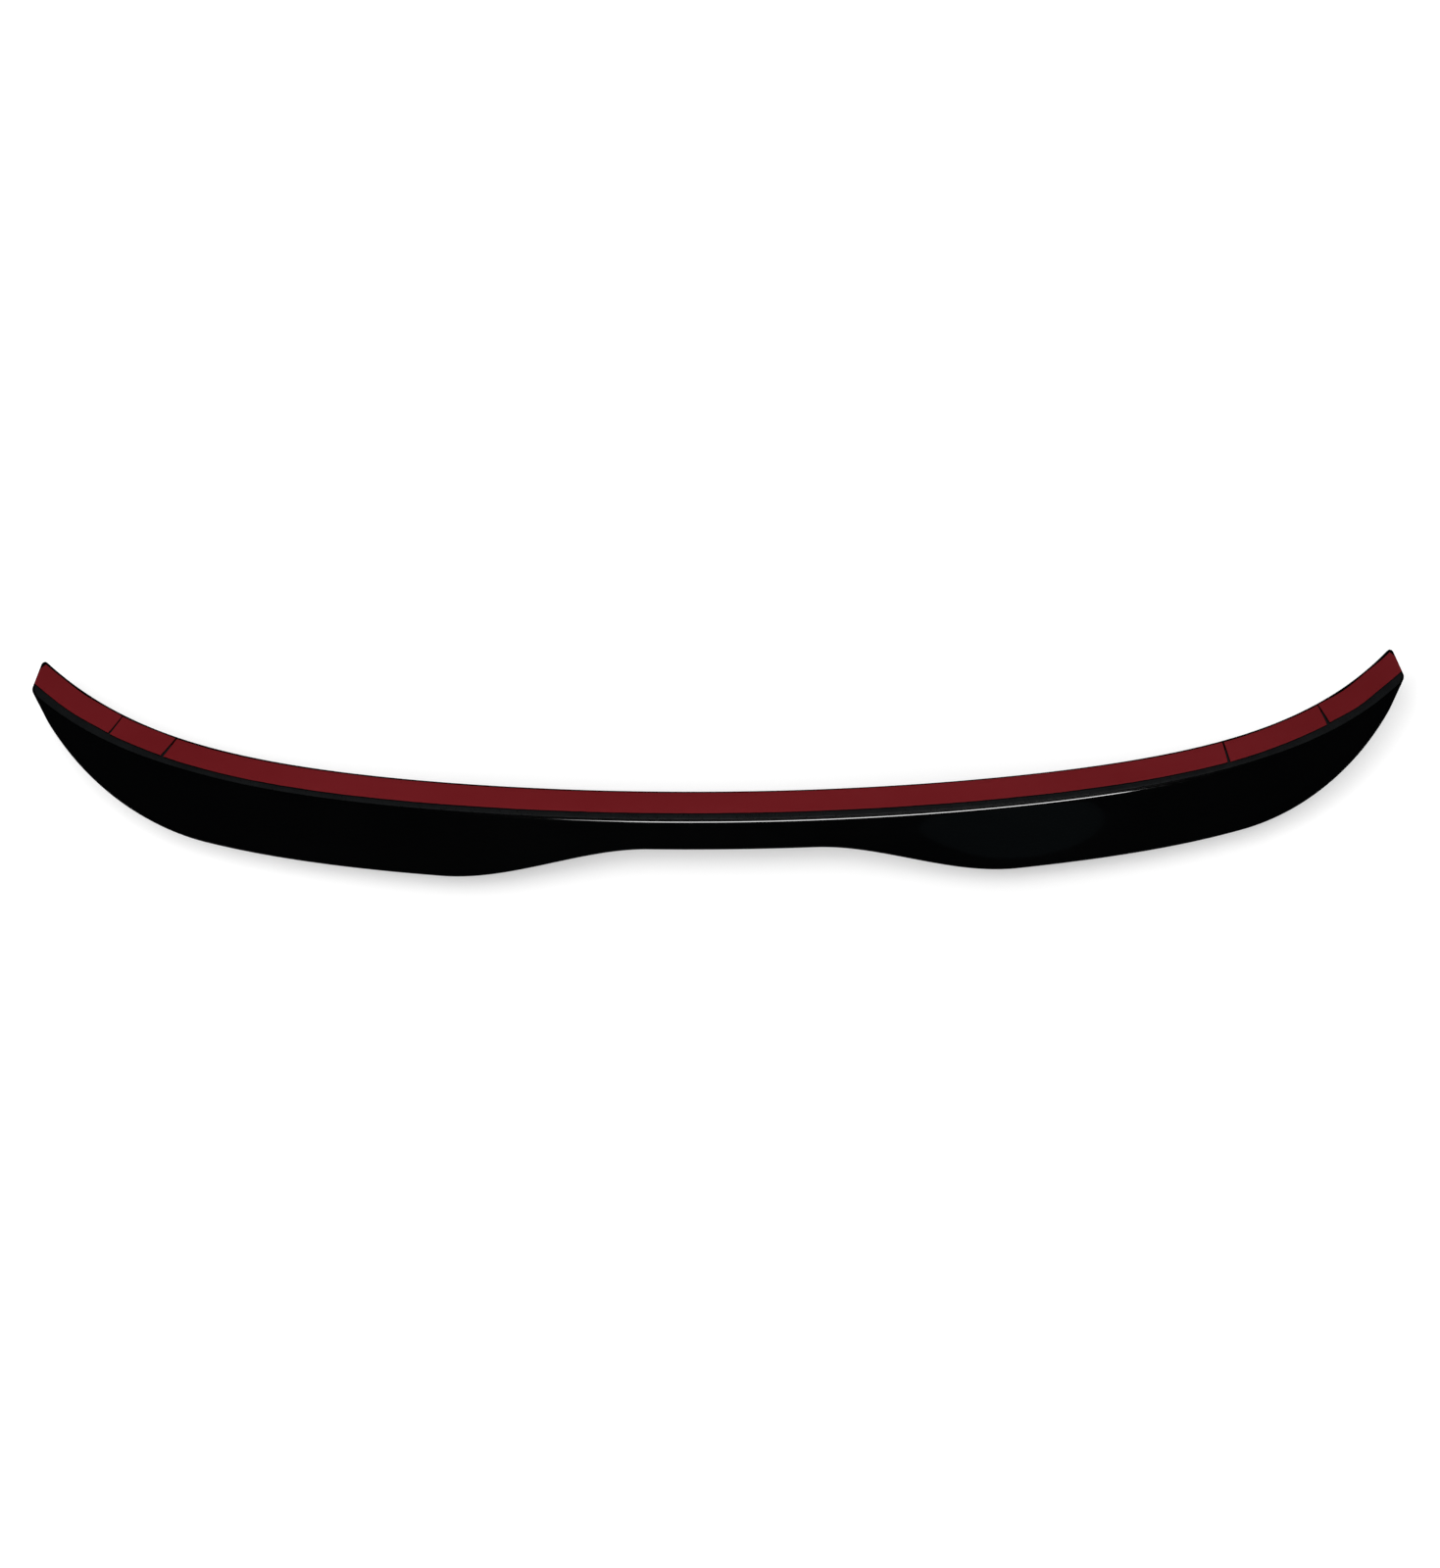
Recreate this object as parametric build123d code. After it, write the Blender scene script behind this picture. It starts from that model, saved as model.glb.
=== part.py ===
from build123d import *

import math
import os

# Stick-on boot-lid spoiler for a saloon car, 1.17 m wide, in millimetres.
#
# A hollow gloss shell (top skin, rounded trailing edge and rear skin in one moulding) stands on a
# narrow bonding land. A satin base plate closes the hollow from below and sits flush in the land, on
# two beads of adhesive. Five strips of foam tape lie end to end on the land, each under its own
# release liner, and hold the spoiler to the car.
#
# Frame: +Z up as fitted to the car, +Y to the front of the car and +X to its right. The origin is on
# the face that meets the boot lid (the liners' outer face, z = 0), at mid-width and half-way across
# the tape. Everything follows the land's leading edge, whose plan is a formula, so a place on the part
# is given as a station (the x of a point on the leading edge) and an offset square to it, rearwards.

# Tape and liner stack, from the boot lid up
LINER_THICKNESS = 0.2
FOAM_THICKNESS = 1.6
LAND_Z = LINER_THICKNESS + FOAM_THICKNESS
TAPE_WIDTH = 19.0
TAPE_MARGIN = 2.1
TAPE_END_MARGIN = 1.2
LINER_OVERHANG = 0.15

# Leading edge in plan: a shallow bow over the whole width and a hook that acts near the tips
HALF_SPAN = 540.0
BOW = 59.2
HOOK = 40.4
HOOK_POWER = 6.9
FRONT_Y = TAPE_MARGIN + TAPE_WIDTH / 2

# Land: the base plate's rear edge, constant in the middle and a little wider at the tips
LAND_WIDTH = 25.3
TIP_LAND_WIDTH = 27.2
LAND_WIDENS_FROM = 428.0

# Trailing edge: its rise above the land, low in the middle, high on the two lobes, low at the tips
RISE_MIDDLE = 17.4
RISE_LOBE = 40.3
RISE_TIP = 2.6
LOBE_STARTS = 68.0
LOBE_FULL = 234.5
TIP_FALL_FROM = 422.0
TIP_FALL_TO = 558.0
TIP_FALL_POWER = 1.93
LEAN = 0.95

# Shell section
FRONT_THICKNESS = 2.5
FRONT_NOSE = 0.6
EDGE_THICKNESS = 2.6
TOP_HOLLOW = 2.4
REAR_CROWN = 1.0
RIM_WIDTH = 2.5
RIM_RADIUS = 1.5
SKIN = 2.5

# Base plate, its pocket in the shell and the adhesive beads between the two
PLATE_THICKNESS = 1.5
PLATE_FRONT = 8.0
PLATE_GAP = 0.9
PLATE_REAR_GAP = 1.5
PLATE_TIP_RIM = 1.9
BEAD_THICKNESS = 0.3
BEAD_WIDTH = 2.4
BEAD_INSET = 0.5
BEAD_END = 490.0

# Hollow of the shell: pockets between cross ribs
RIB_PITCH = 80.0
RIB_THICKNESS = 2.0
POCKETS_EACH_SIDE = 6
LEDGE_WIDTH = 4.6
LEDGE_HEIGHT = 3.4
POCKET_APEX = 1.2

# End cuts in plan: a straight cut with a small round at the front and a larger one at the rear
TIP_FRONT = (579.6, 143.3)
TIP_CUT_ANGLE = 13.5
TIP_CUT_LENGTH = 28.5
TIP_FRONT_ROUND = 3.0
TIP_REAR_ROUND = 7.0
TIP_REAR_SWING = 42.0
PAST_TIP = 600.0

# Cuts between tape strips, from +X to -X: station at the front, at the rear, and the gap at each
TAPE_CUTS = (
    (507.0, 507.6, 0.8, 1.5),
    (461.2, 464.8, 1.4, 2.4),
    (-418.8, -416.6, 1.5, 2.4),
    (-505.0, -502.6, 1.0, 3.0),
)
STRIP_NAMES = ("right_end", "right_inner", "centre", "left_inner", "left_end")

# Where the loft has a section, closer together towards the tips
MIDDLE_SECTIONS = (0, 35, 70, 105, 140, 180, 220, 265, 310, 350, 385)
TIP_SECTIONS = (415, 440, 462, 482, 500, 515, 528, 540, 550, 558, 568, 584)


def smooth_step(t):
    t = min(max(t, 0.0), 1.0)
    return t * t * (3 - 2 * t)


def front_y(station):
    u = abs(station) / HALF_SPAN
    return FRONT_Y + BOW * u**2 + HOOK * u**HOOK_POWER


def front_slope(station):
    u = abs(station) / HALF_SPAN
    slope = (2 * BOW * u + HOOK_POWER * HOOK * u ** (HOOK_POWER - 1)) / HALF_SPAN
    return math.copysign(slope, station)


def place(station, offset, z=0.0):
    """The point at this offset behind the leading edge, square to it, at height z."""
    slope = front_slope(station)
    length = math.hypot(1.0, slope)
    return Vector(station + offset * slope / length, front_y(station) - offset / length, z)


def land_width(station):
    t = (abs(station) - LAND_WIDENS_FROM) / (HALF_SPAN - LAND_WIDENS_FROM)
    return LAND_WIDTH + (TIP_LAND_WIDTH - LAND_WIDTH) * smooth_step(t)


def rise(station):
    """Height of the rear face's upper edge above the land."""
    s = abs(station)
    climb = smooth_step((s - LOBE_STARTS) / (LOBE_FULL - LOBE_STARTS))
    lobe = RISE_MIDDLE + (RISE_LOBE - RISE_MIDDLE) * climb
    fall = min(max((s - TIP_FALL_FROM) / (TIP_FALL_TO - TIP_FALL_FROM), 0.0), 1.0)
    return RISE_TIP + (lobe - RISE_TIP) * (1 - fall**TIP_FALL_POWER)


class Section:
    """The shell's outline at one station, in (offset, height above the land)."""

    def __init__(self, station):
        self.station = station
        height = rise(station)
        self.scale = height / RISE_LOBE
        self.corner = (land_width(station) + RIM_WIDTH, 0.0)
        self.rear_top = (self.corner[0] + LEAN * height, height)
        length = math.hypot(LEAN, 1.0)
        self.along = (LEAN / length, 1 / length)
        self.inward = (-self.along[1], self.along[0])
        self.edge_top = self.step(self.rear_top, inward=EDGE_THICKNESS)
        self.front_top = (0.0, FRONT_THICKNESS)

    def step(self, point, along=0.0, inward=0.0):
        """A point moved along the rear face and square to it, into the body."""
        return (
            point[0] + along * self.along[0] + inward * self.inward[0],
            point[1] + along * self.along[1] + inward * self.inward[1],
        )

    def top(self, t, depth=0.0):
        """A point on the top skin, t from 0 at the front to 1 at the rear, at this depth below it."""
        run = self.edge_top[0] - self.front_top[0]
        climb = self.edge_top[1] - self.front_top[1]
        length = math.hypot(run, climb)
        sag = 4 * t * (1 - t) * TOP_HOLLOW * self.scale + depth
        return (
            self.front_top[0] + t * run + sag * climb / length,
            self.front_top[1] + t * climb - sag * run / length,
        )

    def rear_distance(self, point):
        """How far a point lies inside the plane of the rear face."""
        return (point[0] - self.corner[0]) * self.inward[0] + (point[1] - self.corner[1]) * self.inward[1]

    def at(self, point):
        return place(self.station, point[0], LAND_Z + point[1])

    def line(self, a, b):
        return Edge.make_line(self.at(a), self.at(b))

    def arc(self, a, b, c):
        return Edge.make_three_point_arc(self.at(a), self.at(b), self.at(c))


def shell_section(station):
    """Closed outline of the whole shell, hollow and all."""
    s = Section(station)
    half_turn = math.atan2(s.along[1], s.along[0]) / 2
    tangent = RIM_RADIUS * math.tan(half_turn)
    rim_start = (s.corner[0] - tangent, 0.0)
    rim_end = s.step(s.corner, along=tangent)
    rim_gap = RIM_RADIUS / math.cos(half_turn) - RIM_RADIUS
    rim_middle = (s.corner[0] - rim_gap * math.sin(half_turn), rim_gap * math.cos(half_turn))
    rear_length = math.hypot(s.rear_top[0] - s.corner[0], s.rear_top[1])
    rear_middle = s.step(s.corner, along=(rear_length + tangent) / 2, inward=-REAR_CROWN * s.scale)
    edge_middle = s.step(s.rear_top, along=EDGE_THICKNESS / 2, inward=EDGE_THICKNESS / 2)
    front_middle = (-FRONT_NOSE, FRONT_THICKNESS / 2)
    return Wire(
        [
            s.line((0.0, 0.0), rim_start),
            s.arc(rim_start, rim_middle, rim_end),
            s.arc(rim_end, rear_middle, s.rear_top),
            s.arc(s.rear_top, edge_middle, s.edge_top),
            s.arc(s.edge_top, s.top(0.5), s.front_top),
            s.arc(s.front_top, front_middle, (0.0, 0.0)),
        ]
    )


def pocket_section(station):
    """Outline of the hollow between the skins, over the ledges that carry the base plate."""
    s = Section(station)
    floor = (PLATE_THICKNESS + BEAD_THICKNESS) / 2
    front = PLATE_FRONT - PLATE_GAP + LEDGE_WIDTH
    rear = land_width(station) + PLATE_REAR_GAP - LEDGE_WIDTH
    low, high = 0.2, 1.0
    for _ in range(40):
        t = (low + high) / 2
        if s.rear_distance(s.top(t, SKIN)) > SKIN + POCKET_APEX:
            low = t
        else:
            high = t
    apex_top = s.top(low, SKIN)
    apex_rear = s.step(apex_top, inward=-POCKET_APEX)
    front_t = (front - s.front_top[0]) / (s.edge_top[0] - s.front_top[0])
    front_top = (front, s.top(front_t, SKIN)[1])
    middle_t = (front_t + low) / 2
    ledge_rear = s.step(s.step(s.corner, inward=SKIN), along=LEDGE_HEIGHT)
    corners = [(front, floor), (rear, floor), (rear, LEDGE_HEIGHT), ledge_rear, apex_rear, apex_top]
    edges = [s.line(a, b) for a, b in zip(corners, corners[1:])]
    edges.append(s.arc(apex_top, s.top(middle_t, SKIN), front_top))
    edges.append(s.line(front_top, (front, floor)))
    return Wire(edges)


def mirrored_stations():
    right = MIDDLE_SECTIONS + TIP_SECTIONS
    return [-s for s in reversed(right[1:])] + list(right)


def station_at_cut(offset):
    """The station at which a line at this offset meets the +X end cut."""
    turn = math.radians(TIP_CUT_ANGLE)
    outward = Vector(math.cos(turn), math.sin(turn), 0)
    low, high = HALF_SPAN, PAST_TIP
    for _ in range(50):
        middle = (low + high) / 2
        if (place(middle, offset) - Vector(*TIP_FRONT, 0)).dot(outward) < 0:
            low = middle
        else:
            high = middle
    return low


def tip_trim(inset):
    """A tall prism with the plan of both end cuts, moved in from the part's outline by inset."""
    turn = math.radians(TIP_CUT_ANGLE)
    along = Vector(math.sin(turn), -math.cos(turn), 0)
    outward = Vector(math.cos(turn), math.sin(turn), 0)
    station = station_at_cut(-FRONT_NOSE)
    corner = place(station, -FRONT_NOSE)
    rearward = (place(station, 1.0) - place(station, 0.0)).normalized()
    inboard = Vector(rearward.Y, -rearward.X, 0)
    half_corner = math.radians(inboard.get_angle(along)) / 2
    front_centre = corner + inboard * (TIP_FRONT_ROUND / math.tan(half_corner)) + rearward * TIP_FRONT_ROUND
    front_radius = TIP_FRONT_ROUND - inset
    front_start = front_centre - rearward * front_radius
    front_middle = front_centre + (outward - rearward).normalized() * front_radius
    front_end = front_centre + outward * front_radius
    rear_centre = corner + along * TIP_CUT_LENGTH - outward * TIP_REAR_ROUND
    swing = math.radians(TIP_REAR_SWING)

    def rear_point(angle):
        direction = outward * math.cos(angle) + along * math.sin(angle)
        return rear_centre + direction * (TIP_REAR_ROUND - inset)

    leaving = along * math.cos(swing) - outward * math.sin(swing)
    ahead = front_start - rearward * 150
    behind = rear_point(swing) + leaving * 260
    right = [
        Edge.make_line(ahead, front_start),
        Edge.make_three_point_arc(front_start, front_middle, front_end),
        Edge.make_line(front_end, rear_point(0)),
        Edge.make_three_point_arc(rear_point(0), rear_point(swing / 2), rear_point(swing)),
        Edge.make_line(rear_point(swing), behind),
    ]
    left = [edge.mirror(Plane.YZ) for edge in right]
    across = [Edge.make_line(p, Vector(-p.X, p.Y, p.Z)) for p in (ahead, behind)]
    return slab(Face(Wire([*right, *left, *across])), -50, 200)


def edge_along(offset, start, end):
    """A spline at one offset, or at a function of the station, between two stations."""
    count = max(3, round(abs(end - start) / 25) + 1)
    stations = [start + (end - start) * i / (count - 1) for i in range(count)]
    offsets = [offset(s) if callable(offset) else offset for s in stations]
    return Edge.make_spline([place(s, d) for s, d in zip(stations, offsets)])


def plan_strip(front, rear, front_ends, rear_ends):
    """A flat strip at z = 0 between two offsets, each with its own two end stations."""
    leading = edge_along(front, *front_ends)
    trailing = edge_along(rear, *rear_ends)
    ends = [Edge.make_line(leading @ 1, trailing @ 1), Edge.make_line(trailing @ 0, leading @ 0)]
    return Face(Wire([leading, ends[0], trailing, ends[1]]))


def slab(face, z, thickness):
    return Pos(0, 0, z) * extrude(face, amount=thickness, dir=(0, 0, 1))


def plate_block(gap, rear_gap, z, thickness):
    """The base plate, or its pocket, which is larger by rear_gap at the rear and by gap elsewhere."""
    ends = (-PAST_TIP, PAST_TIP)
    outline = plan_strip(PLATE_FRONT - gap, lambda s: land_width(s) + rear_gap, ends, ends)
    return slab(outline, z, thickness) & tip_trim(PLATE_TIP_RIM - gap)


def spoiler_shell():
    body = Solid.make_loft([shell_section(s) for s in mirrored_stations()])
    body = body & tip_trim(0.0)
    body = body - plate_block(PLATE_GAP, PLATE_REAR_GAP, LAND_Z - 5, 5 + PLATE_THICKNESS + BEAD_THICKNESS)
    for i in range(-POCKETS_EACH_SIDE, POCKETS_EACH_SIDE):
        start = i * RIB_PITCH + RIB_THICKNESS / 2
        length = RIB_PITCH - RIB_THICKNESS
        stations = [start + length * k / 3 for k in range(4)]
        body = body - Solid.make_loft([pocket_section(s) for s in stations])
    return body


def base_plate():
    return plate_block(0.0, 0.0, LAND_Z, PLATE_THICKNESS)


def adhesive_bead(offset):
    ends = (-BEAD_END, BEAD_END)
    return slab(plan_strip(offset, offset + BEAD_WIDTH, ends, ends), LAND_Z + PLATE_THICKNESS, BEAD_THICKNESS)


def strip_limits():
    """For each tape strip from +X to -X, its end stations: (front, rear) at +X, (front, rear) at -X."""
    starts = [(PAST_TIP, PAST_TIP)]
    stops = []
    for front, rear, front_gap, rear_gap in TAPE_CUTS:
        stops.append((front + front_gap / 2, rear + rear_gap / 2))
        starts.append((front - front_gap / 2, rear - rear_gap / 2))
    stops.append((-PAST_TIP, -PAST_TIP))
    return list(zip(starts, stops))


def tape_strip(limits, grow, z, thickness):
    """One strip of foam, or its liner, which stands proud of the foam's edges by grow."""
    (front_start, rear_start), (front_stop, rear_stop) = limits
    outline = plan_strip(
        TAPE_MARGIN - grow,
        TAPE_MARGIN + TAPE_WIDTH + grow,
        (front_stop, front_start),
        (rear_stop, rear_start),
    )
    return slab(outline, z, thickness) & tip_trim(TAPE_END_MARGIN - grow)


def build():
    nodes = {
        "spoiler_shell": spoiler_shell(),
        "base_plate": base_plate(),
        "front_adhesive_bead": adhesive_bead(PLATE_FRONT + BEAD_INSET),
        "rear_adhesive_bead": adhesive_bead(LAND_WIDTH - BEAD_INSET - BEAD_WIDTH),
    }
    for name, limits in zip(STRIP_NAMES, strip_limits()):
        nodes[f"foam_tape_{name}"] = tape_strip(limits, 0.0, LINER_THICKNESS, FOAM_THICKNESS)
        nodes[f"release_liner_{name}"] = tape_strip(limits, LINER_OVERHANG, 0.0, LINER_THICKNESS)
    return nodes


os.makedirs("parts", exist_ok=True)
for node, shape in build().items():
    export_step(shape, f"parts/{node}.step")
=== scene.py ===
import math

import bmesh
import bpy
import numpy as np
from mathutils import Matrix, Vector


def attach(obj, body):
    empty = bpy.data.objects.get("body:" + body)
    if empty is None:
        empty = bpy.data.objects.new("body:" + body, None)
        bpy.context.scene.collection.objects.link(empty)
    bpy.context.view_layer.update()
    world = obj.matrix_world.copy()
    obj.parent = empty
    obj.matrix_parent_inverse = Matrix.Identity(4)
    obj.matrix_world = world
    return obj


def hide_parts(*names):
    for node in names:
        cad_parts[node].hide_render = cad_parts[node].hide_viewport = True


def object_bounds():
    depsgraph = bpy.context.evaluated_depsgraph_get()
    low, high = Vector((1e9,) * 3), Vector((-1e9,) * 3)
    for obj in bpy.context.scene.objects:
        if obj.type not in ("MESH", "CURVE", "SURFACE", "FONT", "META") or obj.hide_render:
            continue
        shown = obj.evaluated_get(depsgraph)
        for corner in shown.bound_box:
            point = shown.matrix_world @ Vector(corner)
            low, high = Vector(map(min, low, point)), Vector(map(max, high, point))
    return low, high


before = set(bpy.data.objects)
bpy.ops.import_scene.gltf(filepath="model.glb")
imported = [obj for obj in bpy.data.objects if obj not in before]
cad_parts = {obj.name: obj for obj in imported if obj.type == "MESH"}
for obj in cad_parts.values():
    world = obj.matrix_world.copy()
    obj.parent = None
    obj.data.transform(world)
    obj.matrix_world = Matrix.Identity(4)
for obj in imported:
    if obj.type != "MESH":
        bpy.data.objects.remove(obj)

# Boot-lid lip spoiler, in the CAD frame: the tape side faces -Z and the raised trailing edge is on the
# -Y side. The camera looks up from below and behind, as if the spoiler lay on its back.
#
# Every visible piece is a fine mesh that stands for its CAD node. A piece is swept along the leading
# edge: "station" is the x of a point on that edge and "offset" is the distance square to it, rearwards,
# both in millimetres like every length in the shape part of this script. Blender's own lengths, from
# the camera and lights on, are in metres.

CAD_LOW, CAD_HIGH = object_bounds()
SCENE = bpy.context.scene
METRES = 0.001

# Tape and liner stack, from the boot lid up
LINER_THICKNESS = 0.2
LAND_Z = 1.8
TAPE_WIDTH = 19.0
TAPE_MARGIN = 2.1
TAPE_END_MARGIN = 1.2
LINER_OVERHANG = 0.15
LINER_REAR_INSET = 0.25
LINER_ROUND = 0.04
FOAM_ROUND = 0.05

# Leading edge in plan: a shallow bow over the whole width and a hook that acts near the tips
HALF_SPAN = 540.0
BOW = 59.2
HOOK = 40.4
HOOK_POWER = 6.9
FRONT_Y = TAPE_MARGIN + TAPE_WIDTH / 2

# Land, and the trailing edge's rise above it
LAND_WIDTH = 25.3
TIP_LAND_WIDTH = 27.2
LAND_WIDENS_FROM = 428.0
RISE_MIDDLE = 17.4
RISE_LOBE = 40.3
RISE_TIP = 2.6
LOBE_STARTS = 68.0
LOBE_FULL = 234.5
TIP_FALL_FROM = 422.0
TIP_FALL_TO = 558.0
TIP_FALL_POWER = 1.93

# Shell section: lean of the rear face, thicknesses, crowns and corner rounds
LEAN = 0.95
FRONT_THICKNESS = 2.5
FRONT_NOSE = 0.6
EDGE_THICKNESS = 2.6
EDGE_LIP = 0.42 * EDGE_THICKNESS
EDGE_ROUND = 0.45 * EDGE_THICKNESS
TOP_HOLLOW = 2.4
REAR_CROWN = 1.0
RIM_WIDTH = 2.5
RIM_ROUND = 0.8
GROOVE_DEPTH = 1.8
GROOVE_ROUND = 0.1
GROOVE_DRAFT = 0.12
NOSE_ROUND = 0.5
TRIM_ROUND = 0.35

# Base plate
PLATE_THICKNESS = 1.5
PLATE_FRONT = 8.0
PLATE_GAP = 0.9
PLATE_REAR_GAP = 1.5
PLATE_TIP_RIM = 1.9
PLATE_ROUND = 0.6

# End cuts in plan
TIP_FRONT = (579.6, 143.3)
TIP_CUT_ANGLE = math.radians(13.5)
TIP_CUT_LENGTH = 28.5
TIP_FRONT_ROUND = 3.0
TIP_REAR_ROUND = 7.0
TIP_REAR_SWING = math.radians(42.0)
BEFORE_TIP, PAST_TIP = 480.0, 600.0

# Tape strips from +X to -X: name, station of each end at the tape's front and rear edge (None at a
# tip), and how far the strip wanders sideways from a true line along it, as laid by hand
STRIPS = (
    ("right_end", None, (507.4, 508.4), 0.25),
    ("right_inner", (506.6, 506.8), (461.9, 466.0), 0.15),
    ("centre", (460.5, 463.6), (-418.0, -415.4), 0.2),
    ("left_inner", (-419.6, -417.8), (-504.5, -501.1), 0.2),
    ("left_end", (-505.5, -504.1), None, -0.45),
)

# Unevenness of the liner's two edges and of the cuts
FRONT_WAVER, REAR_WAVER, CUT_WAVER = 0.08, 0.1, 0.12

# A small nick in the liner's rear edge
NICK_STATION = 123.0
NICK_WIDTH = 1.4
NICK_DEPTH = 0.5

# Mesh spacing along the span: the shell and plate, and the finer hand-cut tape edges
SHELL_STEP = 4.0
TAPE_STEP = 2.5
CREASE = math.radians(32)

# Camera: where it looks, how far it stands off, and its three angles
TARGET = Vector((0.0090, 0.0182, 0.0005))
DISTANCE = 2.072
AZIMUTH = math.radians(5.80)
TILT = math.radians(27.31)
ROLL = math.radians(-2.03)
LENS = 57.0

# World brightness, to matt surfaces and in gloss, each from below and from overhead
FILL_BELOW, FILL_ABOVE = 0.3, 1.0
GLOSS_BELOW, GLOSS_ABOVE = 0.004, 0.45

# Floor just under the part, and backdrop above it for the view from below. The backdrop's own light
# grows from NEAR to FAR, distances from the part's middle in an ellipse that is shallow along y.
FLOOR_GREY = 0.8
FLOOR_GAP, FLOOR_SIZE = 0.0006, 300
BACKDROP_GREY = 0.72
BACKDROP_GAP, BACKDROP_SIZE = 0.060, 12
BACKDROP_GLOW, BACKDROP_FAR_GLOW = 0.31, 0.85
BACKDROP_NEAR, BACKDROP_FAR = 0.3, 1.7
BACKDROP_SHALLOWNESS = 0.4

# The key light: beside the camera, up and to the left
KEY_ASIDE = 0.18
KEY_AIM = (-0.45, 0, 0)
KEY_SIZE = 0.84
KEY_WATTS = 42

# Softboxes: name, place, aim, width, height, watts, and whether matt surfaces get their light
SOFTBOXES = (
    # Below and behind: its reflection draws the line on the rim
    ("rim_light", (-0.46, -1.17, -1.80), (-0.22, 0, 0), 1.37, 1.15, 78, False),
    # Above: a broad soft light for the top skin and two narrow ones from the sides
    ("overhead", (-0.4, -0.6, 2.6), (0, 0, 0), 2.4, 0.7, 14, True),
    ("side_right", (1.9, -0.2, 2.0), (0, 0, 0), 0.4, 1.6, 8, False),
    ("side_left", (-1.9, 0.4, 1.6), (0, 0, 0), 0.4, 1.6, 6, False),
)

# A faint cool glow in the rear face: ellipses one inside the other, so that its edge is soft
GLOW_SIZES = (0.2, 0.32, 0.44, 0.56, 0.68)
GLOW_AT = (-0.86, -1.85, -0.85)
GLOW_AIM = (-0.28, -0.03, 0.02)
GLOW_TINT = (0.7, 1.0, 1.1)
GLOW_WATTS = 0.055


def camera_axes():
    """The camera's right, up and backward directions."""
    back = Vector((math.sin(AZIMUTH) * math.sin(TILT), -math.cos(AZIMUTH) * math.sin(TILT), -math.cos(TILT)))
    right = Vector((0, 1, 0)).cross(back).normalized()
    up = back.cross(right)
    turned_right = right * math.cos(ROLL) + up * math.sin(ROLL)
    turned_up = up * math.cos(ROLL) - right * math.sin(ROLL)
    return turned_right, turned_up, back


def make_camera():
    right, up, back = camera_axes()
    data = bpy.data.cameras.new("camera")
    data.sensor_width = 36
    data.lens = LENS
    data.clip_start, data.clip_end = 0.01, 400
    camera = bpy.data.objects.new("camera", data)
    SCENE.collection.objects.link(camera)
    turn = Matrix((right, up, back)).transposed().to_4x4()
    camera.matrix_world = Matrix.Translation(TARGET + back * DISTANCE) @ turn
    SCENE.camera = camera


# ---------------------------------------------------------------- the plan of the part


def smooth_step(t):
    t = np.clip(t, 0.0, 1.0)
    return t * t * (3 - 2 * t)


def front_slope(station):
    u = np.abs(station) / HALF_SPAN
    return np.sign(station) * (2 * BOW * u + HOOK_POWER * HOOK * u ** (HOOK_POWER - 1)) / HALF_SPAN


def plan(station, offset):
    """x and y of the point at this offset behind the leading edge."""
    u = np.abs(station) / HALF_SPAN
    slope = front_slope(station)
    length = np.hypot(1.0, slope)
    y = FRONT_Y + BOW * u**2 + HOOK * u**HOOK_POWER
    return np.stack((station + offset * slope / length, y - offset / length), axis=-1)


def land_width(station):
    t = (np.abs(station) - LAND_WIDENS_FROM) / (HALF_SPAN - LAND_WIDENS_FROM)
    return LAND_WIDTH + (TIP_LAND_WIDTH - LAND_WIDTH) * smooth_step(t)


def rise(station):
    """Height of the rear face's upper edge above the land."""
    s = np.abs(station)
    climb = smooth_step((s - LOBE_STARTS) / (LOBE_FULL - LOBE_STARTS))
    lobe = RISE_MIDDLE + (RISE_LOBE - RISE_MIDDLE) * climb
    fall = np.clip((s - TIP_FALL_FROM) / (TIP_FALL_TO - TIP_FALL_FROM), 0.0, 1.0)
    return RISE_TIP + (lobe - RISE_TIP) * (1 - fall**TIP_FALL_POWER)


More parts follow.
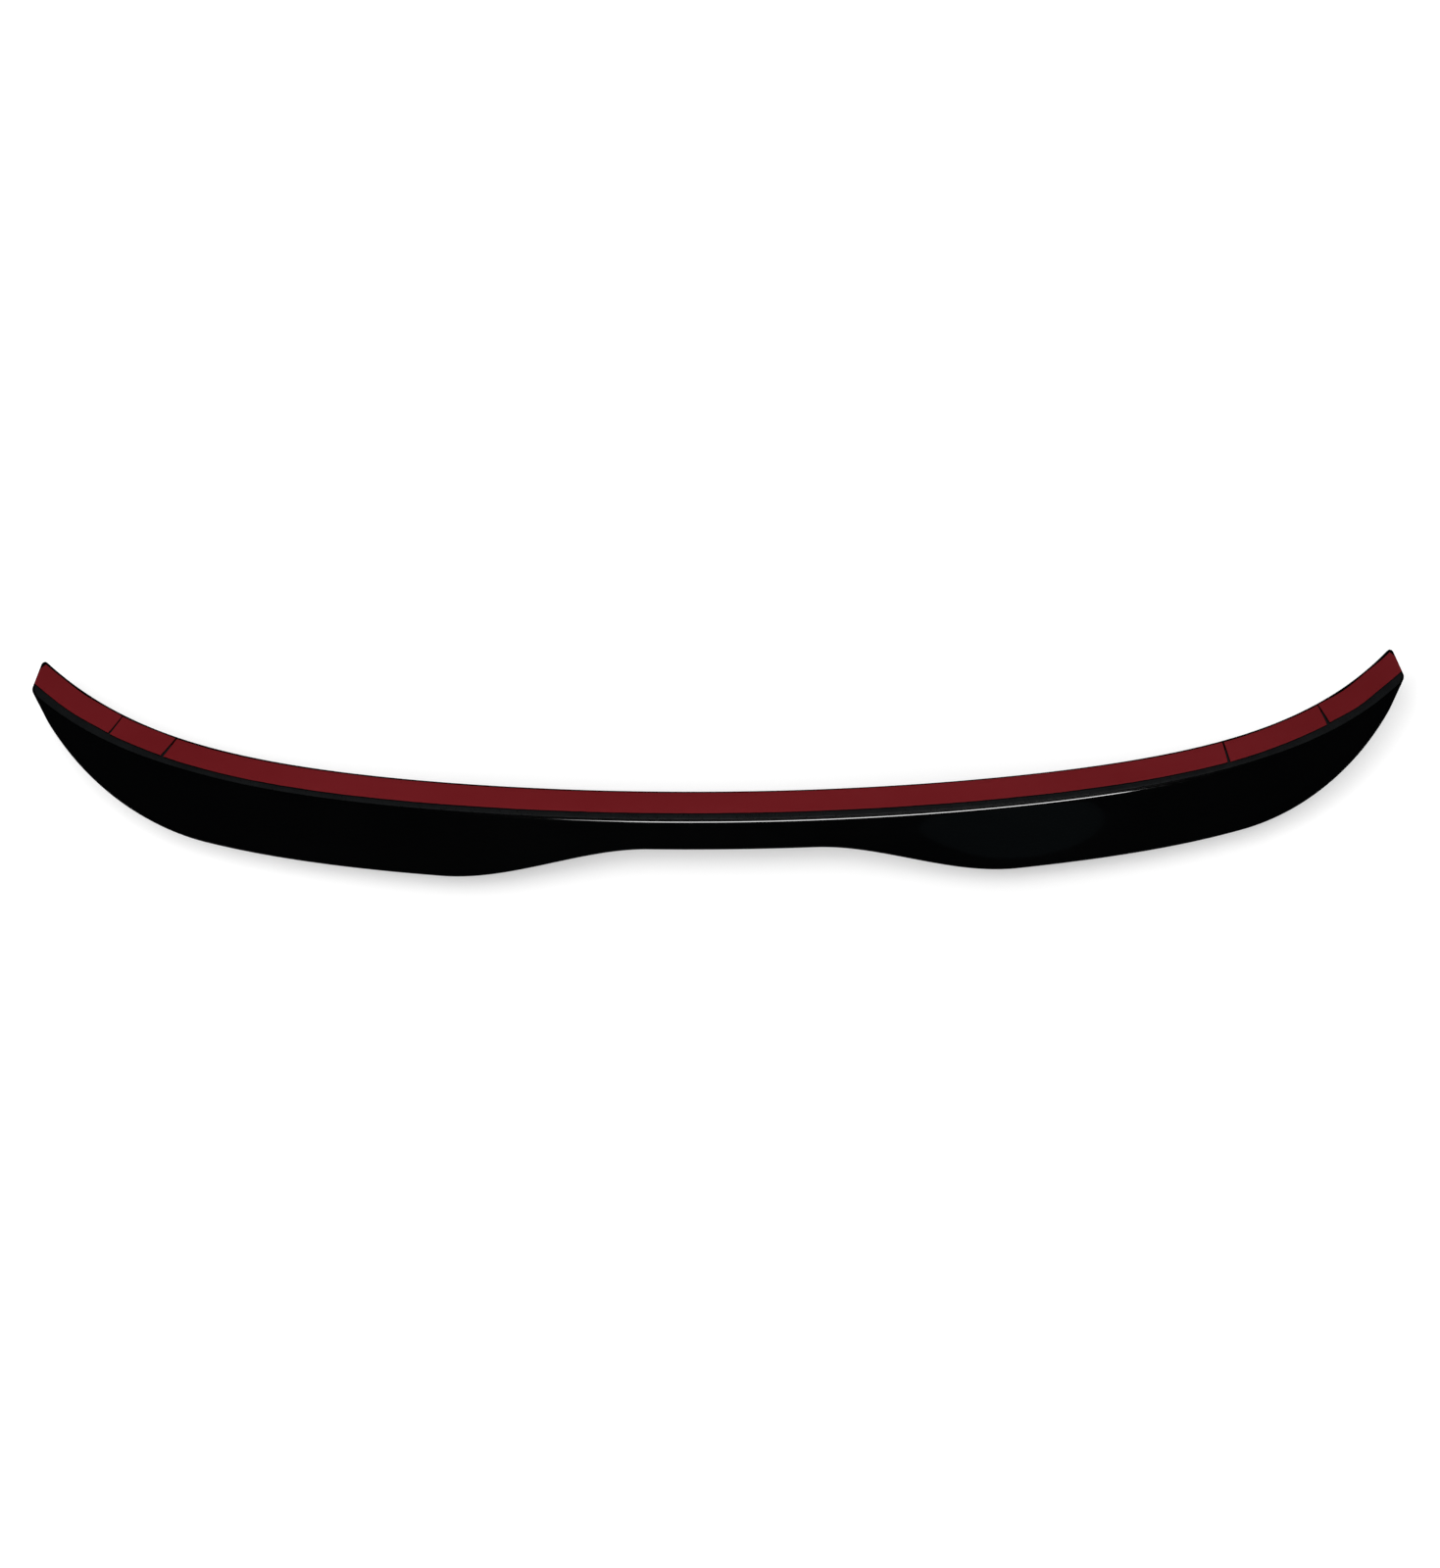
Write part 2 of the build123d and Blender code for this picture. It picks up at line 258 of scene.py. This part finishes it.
class EndCut:
    """The plan of the +X end: a straight cut, a round at its front and rear, and a line to the lobe."""

    def __init__(self):
        self.along = np.array((math.sin(TIP_CUT_ANGLE), -math.cos(TIP_CUT_ANGLE)))
        self.outward = np.array((math.cos(TIP_CUT_ANGLE), math.sin(TIP_CUT_ANGLE)))
        low, high = HALF_SPAN, PAST_TIP
        for _ in range(50):
            middle = (low + high) / 2
            if (plan(middle, -FRONT_NOSE) - TIP_FRONT) @ self.outward < 0:
                low = middle
            else:
                high = middle
        corner = plan(low, -FRONT_NOSE)
        rearward = plan(low, 1.0) - plan(low, 0.0)
        self.inboard = np.array((rearward[1], -rearward[0]))
        half_corner = math.acos(self.inboard @ self.along) / 2
        self.front_centre = corner + TIP_FRONT_ROUND * (self.inboard / math.tan(half_corner) + rearward)
        self.rear_centre = corner + self.along * TIP_CUT_LENGTH - self.outward * TIP_REAR_ROUND
        swing = TIP_REAR_SWING
        self.leaving = self.along * math.cos(swing) - self.outward * math.sin(swing)
        self.facing = self.outward * math.cos(swing) + self.along * math.sin(swing)
        self.corner = corner
        # The station at which the front round starts on the leading edge
        self.round_station = low - TIP_FRONT_ROUND / math.tan(half_corner) / math.hypot(1, front_slope(low))

    def beyond(self, point):
        """How far a point of the +X half lies outside the end cut, less than 0 inside it."""
        from_front = point - self.front_centre
        from_rear = point - self.rear_centre
        cut = (point - self.corner) @ self.outward
        leave = from_rear @ self.facing - TIP_REAR_ROUND
        distance = np.maximum(cut, leave)
        at_rear = (from_rear @ self.along > 0) & (from_rear @ self.leaving < 0)
        distance = np.where(at_rear, np.linalg.norm(from_rear, axis=-1) - TIP_REAR_ROUND, distance)
        at_front = (from_front @ self.along < 0) & (from_front @ self.inboard < 0)
        return np.where(at_front, np.linalg.norm(from_front, axis=-1) - TIP_FRONT_ROUND, distance)


END_CUT = EndCut()


# ---------------------------------------------------------------- outlines in section


def point(offset, height):
    return np.stack(np.broadcast_arrays(offset, height), axis=-1)


def side_point(start, end, t, bulge):
    """A point on a side that bows out, to the right of its direction, by bulge at its middle."""
    run = end - start
    length = np.linalg.norm(run, axis=-1, keepdims=True)
    outward = point(run[..., 1], -run[..., 0]) / length
    return start + run * t + outward * np.reshape(4 * bulge, (-1, 1)) * t * (1 - t)


def rounded_loop(corners, rounds, sides, steps=4):
    """A closed outline, anticlockwise, as [station, point, (offset, height)].

    corners: one array of points a corner; rounds: the length that each corner's round takes from the
    two sides it joins; sides: for the side after each corner, its number of inner points and bulge."""
    total = len(corners)
    lengths = [np.linalg.norm(corners[(i + 1) % total] - corners[i], axis=-1)[:, None] for i in range(total)]
    points = []
    for i, corner in enumerate(corners):
        before, after = corners[i - 1], corners[(i + 1) % total]
        count, bulge = sides[i]
        first = rounds[i] / lengths[i]
        last = 1 - rounds[(i + 1) % total] / lengths[i]
        start = side_point(before, corner, 1 - rounds[i] / lengths[i - 1], sides[i - 1][1])
        end = side_point(corner, after, first, bulge)
        for t in np.linspace(0, 1, steps + 1):
            points.append((1 - t) ** 2 * start + 2 * t * (1 - t) * corner + t**2 * end)
        for k in range(1, count + 1):
            points.append(side_point(corner, after, first + (last - first) * k / (count + 1), bulge))
    return np.stack(points, axis=1)


def shell_loop(station):
    """The shell's outline with the plate's recess; heights are from the land."""
    width = land_width(station)
    height = rise(station)
    scale = height / RISE_LOBE
    none = np.zeros_like(station)
    along = np.array((LEAN, 1.0)) / math.hypot(LEAN, 1.0)
    inward = np.array((-along[1], along[0]))
    rear_top = point(width + RIM_WIDTH + LEAN * height, height)
    edge_low = rear_top + along * EDGE_LIP
    recess_front = PLATE_FRONT - PLATE_GAP + none
    corners = [
        point(none, none),
        point(recess_front, none),
        point(recess_front + GROOVE_DRAFT, GROOVE_DEPTH),
        point(width + PLATE_REAR_GAP - GROOVE_DRAFT, GROOVE_DEPTH),
        point(width + PLATE_REAR_GAP, none),
        point(width + RIM_WIDTH, none),
        edge_low,
        edge_low + inward * EDGE_THICKNESS,
        point(none, FRONT_THICKNESS),
    ]
    rounds = [NOSE_ROUND, *[GROOVE_ROUND] * 4, RIM_ROUND, EDGE_ROUND, EDGE_ROUND, NOSE_ROUND]
    sides = [
        (3, 0.0),
        (1, 0.0),
        (12, 0.0),
        (1, 0.0),
        (0, 0.0),
        (16, REAR_CROWN * scale),
        (1, 0.0),
        (26, -TOP_HOLLOW * scale),
        (3, FRONT_NOSE),
    ]
    return rounded_loop(corners, rounds, sides)


# The points of shell_loop that form the recess: its four corner rounds and the three sides between them
RECESS = slice(8, 42)


def closed_shell_loop(station):
    """The shell's outline at its ends, where there is no recess."""
    loops = shell_loop(station)
    loops[:, RECESS, 1] = 0.0
    return loops


def bar_loop(front, rear, low, high, round_, inner):
    """A flat bar's outline between two offsets and two heights."""
    corners = [point(front, low), point(rear, low), point(rear, high), point(front, high)]
    sides = [(inner, 0.0), (0, 0.0), (inner, 0.0), (0, 0.0)]
    return rounded_loop(corners, [round_] * 4, sides, steps=3)


def plate_loop(station):
    return bar_loop(PLATE_FRONT + 0 * station, land_width(station), 0.0, PLATE_THICKNESS, PLATE_ROUND, 8)


def waver(station, amount):
    """The small unevenness of an edge cut by hand."""
    waves = np.sin(station / 1.9) + np.sin(station / 4.3 + 1.0) + 1.4 * np.sin(station / 11.7 + 2.0)
    return amount * waves / 3


class TapeStrip:
    """One strip of foam with its liner, between two ends; each end is a hand cut or follows the tip."""

    def __init__(self, right_end, left_end, wander):
        self.ends = (left_end, right_end)
        self.wander = wander
        self.right = right_end[0] if right_end else HALF_SPAN
        self.left = left_end[0] if left_end else -HALF_SPAN

    def shift(self, station):
        t = (self.right - station) / (self.right - self.left)
        return self.wander * np.cos(1.5 * math.pi * t)

    def foam_loop(self, station):
        front = TAPE_MARGIN + self.shift(station)
        return bar_loop(front, front + TAPE_WIDTH, LINER_THICKNESS, LAND_Z, FOAM_ROUND, 4)

    def liner_loop(self, station):
        front = TAPE_MARGIN + self.shift(station)
        rear = front + TAPE_WIDTH - LINER_REAR_INSET + waver(station + 40, REAR_WAVER)
        rear = rear - NICK_DEPTH * np.exp(-(((station - NICK_STATION) / NICK_WIDTH) ** 2))
        front = front - LINER_OVERHANG + waver(station, FRONT_WAVER)
        return bar_loop(front, rear, 0.0, LINER_THICKNESS, LINER_ROUND, 6)


# ---------------------------------------------------------------- meshes


def section_points(loop, station, shrink=0.0):
    """For each point of the loop, its place at its own station, moved into the section by shrink."""
    loops = loop(station)
    index = np.arange(len(station))
    points = loops[index, index]
    if shrink:
        ahead = loops[index, (index + 1) % len(index)] - loops[index, index - 1]
        ahead /= np.linalg.norm(ahead, axis=-1, keepdims=True)
        points = points + shrink * point(-ahead[:, 1], ahead[:, 0])
    return points


def loop_size(loop):
    return loop(np.zeros(1)).shape[1]


def tip_stations(loop, side, inset, shrink=0.0):
    """The station at which each point of the loop meets the end cut, moved in by inset."""
    low = np.full(loop_size(loop), BEFORE_TIP)
    high = np.full(loop_size(loop), PAST_TIP)
    for _ in range(40):
        middle = (low + high) / 2
        offset = section_points(loop, side * middle, shrink)[:, 0]
        inside = END_CUT.beyond(plan(middle, offset)) < -inset
        low = np.where(inside, middle, low)
        high = np.where(inside, high, middle)
    if not shrink:
        low = np.minimum(low, END_CUT.round_station - inset)
    return side * low


def cut_stations(loop, cut):
    """The station of each point of the loop on a hand cut between a front and a rear station."""
    front, rear = cut
    offset = section_points(loop, np.full(loop_size(loop), float(front)))[:, 0]
    return front + (rear - front) * (offset - TAPE_MARGIN) / TAPE_WIDTH + waver(offset * 3, CUT_WAVER)


def cap_faces(section, first):
    """Triangles that close an end: they join the outline's lower side to its upper, front to rear."""
    count = len(section)
    front, rear = int(section[:, 0].argmin()), int(section[:, 0].argmax())
    lower = [(front + k) % count for k in range((rear - front) % count + 1)]
    upper = [(front - k) % count for k in range((front - rear) % count + 1)]
    faces = []
    while len(lower) > 1 or len(upper) > 1:
        step_lower = len(upper) == 1 or (len(lower) > 1 and section[lower[1], 0] < section[upper[1], 0])
        face = (lower[0], lower[1], upper[0]) if step_lower else (lower[0], upper[1], upper[0])
        (lower if step_lower else upper).pop(0)
        if len(set(face)) == 3:
            faces.append(tuple(first + i for i in face))
    return faces


def sweep(name, rows, base):
    """A closed mesh through rows of (loop, stations, shrink)."""
    count = loop_size(rows[0][0])
    sections, points = [], []
    for loop, station, shrink in rows:
        section = section_points(loop, station, shrink)
        sections.append(section)
        height = base + section[:, 1:]
        points.append(np.concatenate((plan(station, section[:, 0]), height), axis=1) * METRES)
    faces = []
    for r in range(len(rows) - 1):
        for j in range(count):
            k = (j + 1) % count
            faces.append((r * count + j, r * count + k, (r + 1) * count + k, (r + 1) * count + j))
    faces += cap_faces(sections[0], 0)
    faces += cap_faces(sections[-1], (len(rows) - 1) * count)
    mesh = bpy.data.meshes.new(name)
    mesh.from_pydata(np.concatenate(points).tolist(), [], faces)
    mesh.validate()
    work = bmesh.new()
    work.from_mesh(mesh)
    bmesh.ops.recalc_face_normals(work, faces=work.faces)
    work.to_mesh(mesh)
    work.free()
    mesh.shade_smooth()
    mesh.set_sharp_from_angle(angle=CREASE)
    obj = bpy.data.objects.new(name, mesh)
    SCENE.collection.objects.link(obj)
    return obj


def between(start, end, step):
    """Rows of stations from start to end, evenly spaced for each point of the loop."""
    count = max(2, round(float(np.abs(end - start).max()) / step))
    return [start + (end - start) * k / count for k in range(count + 1)]


def rolled_end(loop, side, steps):
    """Rows that round the edge of an end cut, outwards: inset, then shrunk to meet the cut."""
    rows = [(loop, tip_stations(loop, side, TRIM_ROUND), 0.0)]
    for k in range(1, steps + 1):
        turn = math.pi / 2 * k / steps
        inset, shrink = TRIM_ROUND * (1 - math.sin(turn)), TRIM_ROUND * (1 - math.cos(turn))
        rows.append((loop, tip_stations(loop, side, inset, shrink), shrink))
    return rows


def make_shell():
    recess_end = PLATE_TIP_RIM - PLATE_GAP
    ends = []
    for side in (-1, 1):
        closing = tip_stations(closed_shell_loop, side, recess_end - GROOVE_DRAFT)
        ends.append([(closed_shell_loop, closing, 0.0)] + rolled_end(closed_shell_loop, side, 3))
    start, stop = (tip_stations(shell_loop, side, recess_end) for side in (-1, 1))
    middle = [(shell_loop, stations, 0.0) for stations in between(start, stop, SHELL_STEP)]
    return sweep("shell_moulding", ends[0][::-1] + middle + ends[1], LAND_Z)


def make_plate():
    start, stop = (tip_stations(plate_loop, side, PLATE_TIP_RIM) for side in (-1, 1))
    rows = [(plate_loop, stations, 0.0) for stations in between(start, stop, SHELL_STEP)]
    return sweep("base_strip", rows, LAND_Z)


def make_tape(name, loop, strip, inset):
    ends = []
    for side, cut in zip((-1, 1), strip.ends):
        ends.append(cut_stations(loop, cut) if cut else tip_stations(loop, side, inset))
    rows = [(loop, stations, 0.0) for stations in between(*ends, TAPE_STEP)]
    return sweep(name, rows, 0.0)


# ---------------------------------------------------------------- materials


class Shader:
    """A Principled material with helpers for its procedural nodes."""

    def __init__(self, name, **sockets):
        self.material = bpy.data.materials.new(name)
        self.material.use_nodes = True
        self.nodes = self.material.node_tree.nodes
        self.links = self.material.node_tree.links
        self.bsdf = self.nodes["Principled BSDF"]
        for key, value in sockets.items():
            self.bsdf.inputs[key.replace("_", " ")].default_value = value

    def node(self, kind, **values):
        node = self.nodes.new(kind)
        for key, value in values.items():
            if hasattr(node, key):
                setattr(node, key, value)
            else:
                node.inputs[key.replace("_", " ")].default_value = value
        return node

    def noise(self, scale, detail=4.0, roughness=0.5, stretch=(1, 1, 1)):
        texture = self.node("ShaderNodeTexNoise", Scale=scale, Detail=detail, Roughness=roughness)
        place = self.node("ShaderNodeTexCoord").outputs["Object"]
        mapping = self.node("ShaderNodeMapping")
        mapping.inputs["Scale"].default_value = stretch
        self.links.new(place, mapping.inputs["Vector"])
        self.links.new(mapping.outputs["Vector"], texture.inputs["Vector"])
        return texture.outputs["Fac"]

    def ramp(self, source, *stops):
        """stops: (position, grey or colour) pairs."""
        ramp = self.node("ShaderNodeValToRGB")
        elements = ramp.color_ramp.elements
        while len(elements) < len(stops):
            elements.new(0.5)
        for element, (position, value) in zip(elements, stops):
            element.position = position
            element.color = (value, value, value, 1) if isinstance(value, float) else (*value, 1)
        self.links.new(source, ramp.inputs["Fac"])
        return ramp.outputs["Color"]

    def drive(self, socket, source):
        self.links.new(source, self.bsdf.inputs[socket])

    def bump(self, *layers):
        """layers: (height source, strength, distance in metres), the broadest first."""
        previous = None
        for height, strength, distance in layers:
            bump = self.node("ShaderNodeBump", Strength=strength, Distance=distance)
            self.links.new(height, bump.inputs["Height"])
            if previous:
                self.links.new(previous, bump.inputs["Normal"])
            previous = bump.outputs["Normal"]
        self.links.new(previous, self.bsdf.inputs["Normal"])


def gloss_black():
    s = Shader("gloss_black_plastic", Specular_IOR_Level=0.5, Coat_Weight=0.4, Coat_Roughness=0.02)
    tone = s.noise(9, 3)
    s.drive("Base Color", s.ramp(tone, (0.3, (0.0004, 0.0005, 0.0006)), (0.7, (0.0008, 0.0009, 0.0010))))
    s.drive("Roughness", s.ramp(s.noise(40, 6, 0.6), (0.35, 0.05), (0.7, 0.09)))
    s.bump((s.noise(110, 2), 0.05, 0.0003), (s.noise(1400, 3), 0.03, 0.00005))
    return s.material


def satin_black():
    s = Shader("satin_black_plastic", Specular_IOR_Level=0.3)
    tone = s.noise(60, 5)
    s.drive("Base Color", s.ramp(tone, (0.3, (0.0044, 0.0050, 0.0054)), (0.7, (0.0066, 0.0073, 0.0078))))
    s.drive("Roughness", s.ramp(s.noise(300, 4), (0.3, 0.26), (0.7, 0.34)))
    s.bump((s.noise(25, 2), 0.1, 0.0004), (s.noise(2600, 3), 0.22, 0.00006))
    return s.material


def red_liner():
    s = Shader("dark_red_liner_film", Specular_IOR_Level=0.06)
    tone = s.noise(5, 4, 0.55, (1, 2, 1))
    s.drive("Base Color", s.ramp(tone, (0.3, (0.112, 0.0060, 0.0080)), (0.7, (0.130, 0.0086, 0.0116))))
    s.drive("Roughness", s.ramp(s.noise(120, 5, 0.6), (0.3, 0.42), (0.75, 0.56)))
    s.bump((s.noise(30, 3), 0.2, 0.0006), (s.noise(420, 3), 0.08, 0.00006))
    return s.material


def black_foam():
    s = Shader("black_foam", Specular_IOR_Level=0.05)
    tone = s.noise(900, 4)
    s.drive("Base Color", s.ramp(tone, (0.3, (0.0006, 0.0006, 0.0007)), (0.7, (0.0014, 0.0014, 0.0016))))
    s.drive("Roughness", s.ramp(s.noise(500, 3), (0.3, 0.8), (0.7, 0.95)))
    s.bump((s.noise(1500, 3), 0.6, 0.0002))
    return s.material


def black_adhesive():
    s = Shader("black_adhesive", Specular_IOR_Level=0.4)
    s.drive("Base Color", s.ramp(s.noise(200, 3), (0.3, (0.006, 0.006, 0.006)), (0.7, (0.012, 0.012, 0.012))))
    s.drive("Roughness", s.ramp(s.noise(150, 3), (0.3, 0.35), (0.7, 0.55)))
    s.bump((s.noise(150, 3), 0.3, 0.0005))
    return s.material


def paint(obj, material):
    obj.data.materials.clear()
    obj.data.materials.append(material)


# ---------------------------------------------------------------- stage


def one_sided(name, grey, strength, far_strength=None):
    """A pale matt material that shows only from its front, with a little light of its own.

    That light can grow with distance from the part, where the key reaches less."""
    material = bpy.data.materials.new(name)
    material.use_nodes = True
    nodes, links = material.node_tree.nodes, material.node_tree.links
    nodes.clear()
    output = nodes.new("ShaderNodeOutputMaterial")
    mix = nodes.new("ShaderNodeMixShader")
    clear = nodes.new("ShaderNodeBsdfTransparent")
    diffuse = nodes.new("ShaderNodeBsdfDiffuse")
    glow = nodes.new("ShaderNodeEmission")
    both = nodes.new("ShaderNodeAddShader")
    side = nodes.new("ShaderNodeNewGeometry")
    diffuse.inputs["Color"].default_value = (grey, grey, grey, 1)
    glow.inputs["Strength"].default_value = strength
    if far_strength:
        place = nodes.new("ShaderNodeTexCoord")
        squeeze = nodes.new("ShaderNodeVectorMath")
        squeeze.operation = "DIVIDE"
        squeeze.inputs[1].default_value = (1, BACKDROP_SHALLOWNESS, 1)
        distance = nodes.new("ShaderNodeVectorMath")
        distance.operation = "LENGTH"
        fade = nodes.new("ShaderNodeMapRange")
        fade.inputs["From Min"].default_value = BACKDROP_NEAR
        fade.inputs["From Max"].default_value = BACKDROP_FAR
        fade.inputs["To Min"].default_value = strength
        fade.inputs["To Max"].default_value = far_strength
        links.new(place.outputs["Object"], squeeze.inputs[0])
        links.new(squeeze.outputs["Vector"], distance.inputs[0])
        links.new(distance.outputs["Value"], fade.inputs["Value"])
        links.new(fade.outputs["Result"], glow.inputs["Strength"])
    links.new(diffuse.outputs[0], both.inputs[0])
    links.new(glow.outputs[0], both.inputs[1])
    links.new(side.outputs["Backfacing"], mix.inputs["Fac"])
    links.new(both.outputs[0], mix.inputs[1])
    links.new(clear.outputs[0], mix.inputs[2])
    links.new(mix.outputs[0], output.inputs["Surface"])
    return material


def plane(name, z, facing_up, size, material):
    h = size / 2
    corners = [(-h, -h, z), (h, -h, z), (h, h, z), (-h, h, z)]
    mesh = bpy.data.meshes.new(name)
    mesh.from_pydata(corners, [], [(0, 1, 2, 3) if facing_up else (3, 2, 1, 0)])
    obj = bpy.data.objects.new(name, mesh)
    SCENE.collection.objects.link(obj)
    paint(obj, material)
    # Only the camera sees it, so it neither hides a light from the other side nor shows in the gloss
    obj.visible_shadow = False
    obj.visible_diffuse = False
    obj.visible_glossy = False
    obj.visible_transmission = False
    return obj


def softbox(name, at, aim, width, height, watts, glossy=True, diffuse=True):
    data = bpy.data.lights.new(name, "AREA")
    data.shape = "RECTANGLE"
    data.size, data.size_y = width, height
    data.energy = watts
    light = bpy.data.objects.new(name, data)
    SCENE.collection.objects.link(light)
    light.location = at
    light.rotation_mode = "QUATERNION"
    light.rotation_quaternion = (Vector(aim) - Vector(at)).to_track_quat("-Z", "Y")
    light.visible_camera = False
    light.visible_glossy = glossy
    light.visible_diffuse = diffuse
    return light


def make_world():
    """Soft light from above and a little from below, set apart for matt surfaces and for gloss."""
    world = bpy.data.worlds.new("world")
    SCENE.world = world
    world.use_nodes = True
    world.cycles.sampling_method = "NONE"
    nodes, links = world.node_tree.nodes, world.node_tree.links
    nodes.clear()
    direction = nodes.new("ShaderNodeTexCoord")
    split = nodes.new("ShaderNodeSeparateXYZ")
    height = nodes.new("ShaderNodeMapRange")
    height.inputs["From Min"].default_value = -1
    links.new(direction.outputs["Generated"], split.inputs["Vector"])
    links.new(split.outputs["Z"], height.inputs["Value"])

    def background(*stops):
        ramp = nodes.new("ShaderNodeValToRGB")
        for element, (position, grey) in zip(ramp.color_ramp.elements, stops):
            element.position = position
            element.color = (grey, grey, grey, 1)
        shade = nodes.new("ShaderNodeBackground")
        links.new(height.outputs["Result"], ramp.inputs["Fac"])
        links.new(ramp.outputs["Color"], shade.inputs["Color"])
        return shade.outputs[0]

    shown = background((0.5, GLOSS_BELOW), (1.0, GLOSS_ABOVE))
    haze = FLOOR_GREY * FILL_ABOVE
    layers = {
        "Is Diffuse Ray": background((0.49, FILL_BELOW), (0.51, FILL_ABOVE)),
        "Is Camera Ray": background((0.0, haze), (1.0, haze)),
    }
    path = nodes.new("ShaderNodeLightPath")
    for ray, layer in layers.items():
        mix = nodes.new("ShaderNodeMixShader")
        links.new(path.outputs[ray], mix.inputs["Fac"])
        links.new(shown, mix.inputs[1])
        links.new(layer, mix.inputs[2])
        shown = mix.outputs[0]
    output = nodes.new("ShaderNodeOutputWorld")
    links.new(shown, output.inputs["Surface"])


def make_stage():
    SCENE.view_settings.view_transform = "Standard"
    make_world()
    floor = one_sided("pale_floor", FLOOR_GREY, 0.0)
    plane("floor", CAD_LOW.z - FLOOR_GAP, True, FLOOR_SIZE, floor)
    backdrop = one_sided("white_backdrop", BACKDROP_GREY, BACKDROP_GLOW, BACKDROP_FAR_GLOW)
    plane("backdrop", CAD_HIGH.z + BACKDROP_GAP, False, BACKDROP_SIZE, backdrop)
    # Beside the camera, the key throws a soft shadow just below and right of the part
    right, up, back = camera_axes()
    key = TARGET + back * DISTANCE + (up - right) * KEY_ASIDE
    softbox("key", key, KEY_AIM, KEY_SIZE, KEY_SIZE, KEY_WATTS, glossy=False)
    for name, at, aim, width, height, watts, diffuse in SOFTBOXES:
        softbox(name, at, aim, width, height, watts, diffuse=diffuse)
    for size in GLOW_SIZES:
        watts = GLOW_WATTS * size**2
        glow = softbox(f"rear_glow_{size}", GLOW_AT, GLOW_AIM, size * 0.8, size, watts, diffuse=False)
        glow.data.shape = "ELLIPSE"
        glow.data.color = GLOW_TINT


# ---------------------------------------------------------------- the object


def adopt(piece, node, material):
    paint(piece, material)
    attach(piece, "root")
    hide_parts(node)


def make_object():
    adopt(make_shell(), "spoiler_shell", gloss_black())
    adopt(make_plate(), "base_plate", satin_black())
    adhesive, foam, liner = black_adhesive(), black_foam(), red_liner()
    for node in ("front_adhesive_bead", "rear_adhesive_bead"):
        paint(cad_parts[node], adhesive)
    for name, right_end, left_end, wander in STRIPS:
        strip = TapeStrip(right_end, left_end, wander)
        piece = make_tape(f"foam_{name}", strip.foam_loop, strip, TAPE_END_MARGIN)
        adopt(piece, f"foam_tape_{name}", foam)
        piece = make_tape(f"liner_{name}", strip.liner_loop, strip, TAPE_END_MARGIN - LINER_OVERHANG)
        adopt(piece, f"release_liner_{name}", liner)


make_camera()
make_stage()
make_object()
